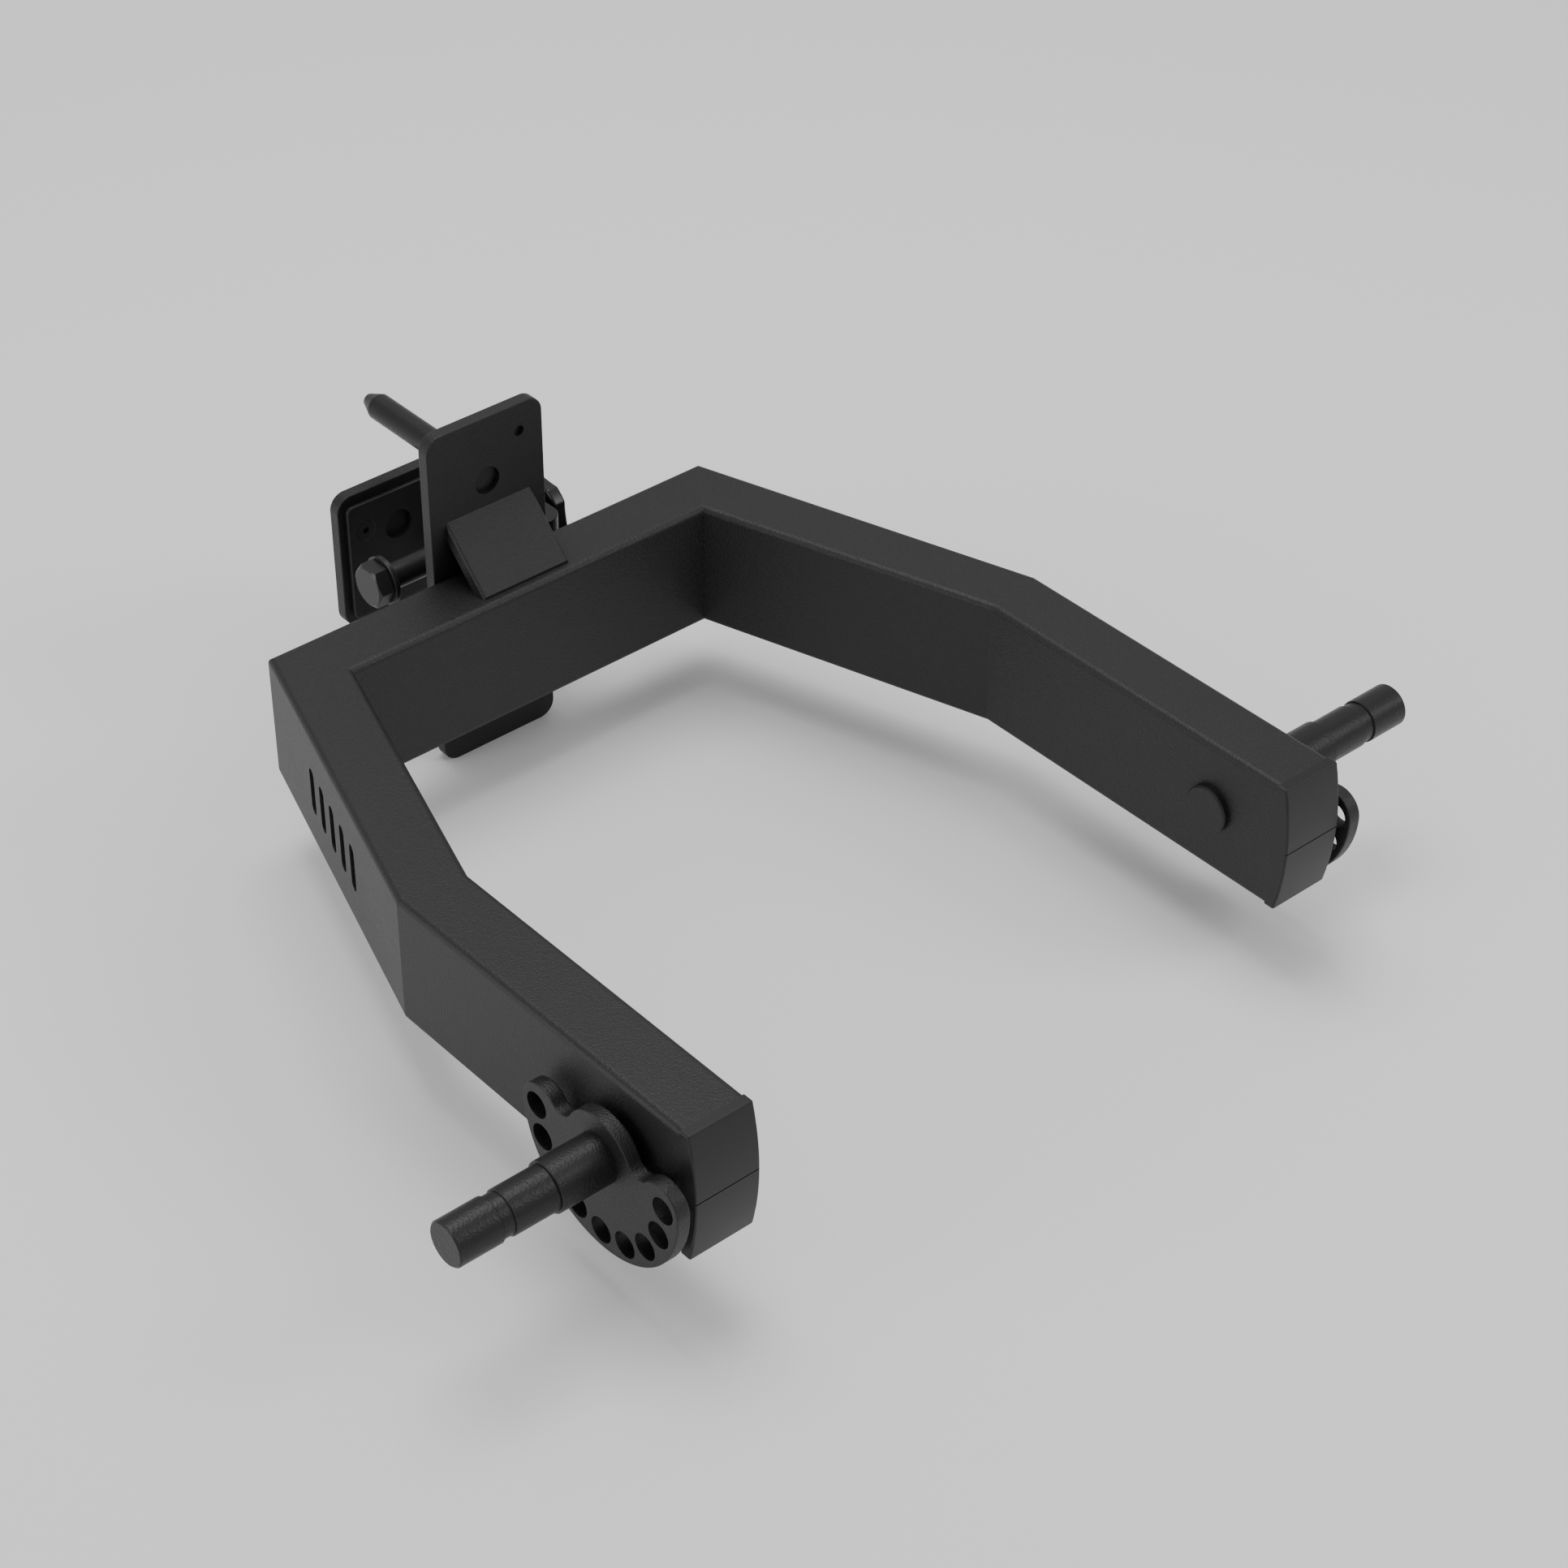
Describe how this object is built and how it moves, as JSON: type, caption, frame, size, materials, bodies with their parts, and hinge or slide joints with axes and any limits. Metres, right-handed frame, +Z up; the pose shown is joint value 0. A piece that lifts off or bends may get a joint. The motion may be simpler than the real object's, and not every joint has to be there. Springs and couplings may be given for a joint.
{
  "type": "rack pivot yoke",
  "caption": "U-shaped yoke of rectangular steel tube that pins and clamps to a square rack upright, with a stepped peg and an arc of index holes on each arm.",
  "frame": {"origin": "where the locating pin's axis meets the face that the upright bears on", "axes": "+Y along the locating pin, into the upright; +X to the right, towards the gate; +Z up"},
  "size_m": [0.653, 0.565, 0.2203],
  "materials": {
    "powder_coat": "matte black fine-textured powder coat",
    "black_steel": "smooth black finish on steel, satin",
    "cap_plastic": "black moulded plastic, finely grained",
    "liner_plastic": "black sheet plastic, matte",
    "knob_plastic": "black moulded plastic, satin"
  },
  "bodies": {
    "yoke": {"crossbar": "powder_coat", "left_angle_tube": "powder_coat", "right_angle_tube": "powder_coat", "left_arm_tube": "powder_coat", "right_arm_tube": "powder_coat", "left_end_cap": "cap_plastic", "right_end_cap": "cap_plastic", "left_index_plate": "powder_coat", "right_index_plate": "powder_coat", "left_peg_shaft": "powder_coat", "right_peg_shaft": "powder_coat", "mounting_plate": "powder_coat", "brace_plate": "powder_coat", "locating_pin": "powder_coat", "front_liner": "liner_plastic", "front_liner_screws": "black_steel", "hinge_lug": "powder_coat", "hinge_pin": "black_steel"},
    "gate": {"side_arm": "powder_coat", "rear_plate": "powder_coat", "rear_liner": "liner_plastic", "rear_liner_screws": "black_steel"},
    "bolt": {"cross_bolt": "black_steel", "bolt_washer": "black_steel"},
    "knob_carriage": {"thrust_washer": "black_steel"},
    "knob": {"knob_wheel": "knob_plastic", "knob_hub": "black_steel"}
  },
  "joints": [
    {"name": "gate_swing", "type": "hinge", "parent": "yoke", "child": "gate", "pos_m": [0.0505, 0.0085, -0.091], "axis": [0, 0, 1], "range_deg": [-46, 0]},
    {"name": "bolt_draw", "type": "slide", "parent": "gate", "child": "bolt", "axis": [-1, 0, 0], "range_m": [0, 0.12]},
    {"name": "knob_travel", "type": "slide", "parent": "gate", "child": "knob_carriage", "axis": [1, 0, 0], "range_m": [0, 0.004]},
    {"name": "knob_turn", "type": "hinge", "parent": "knob_carriage", "child": "knob", "pos_m": [0.063, 0.038, -0.0745], "axis": [1, 0, 0], "range_deg": [0, 720]}
  ],
  "couplings": [
    {"joint": "knob_turn", "follows": "knob_travel", "rad_per_m": 3141.6}
  ]
}
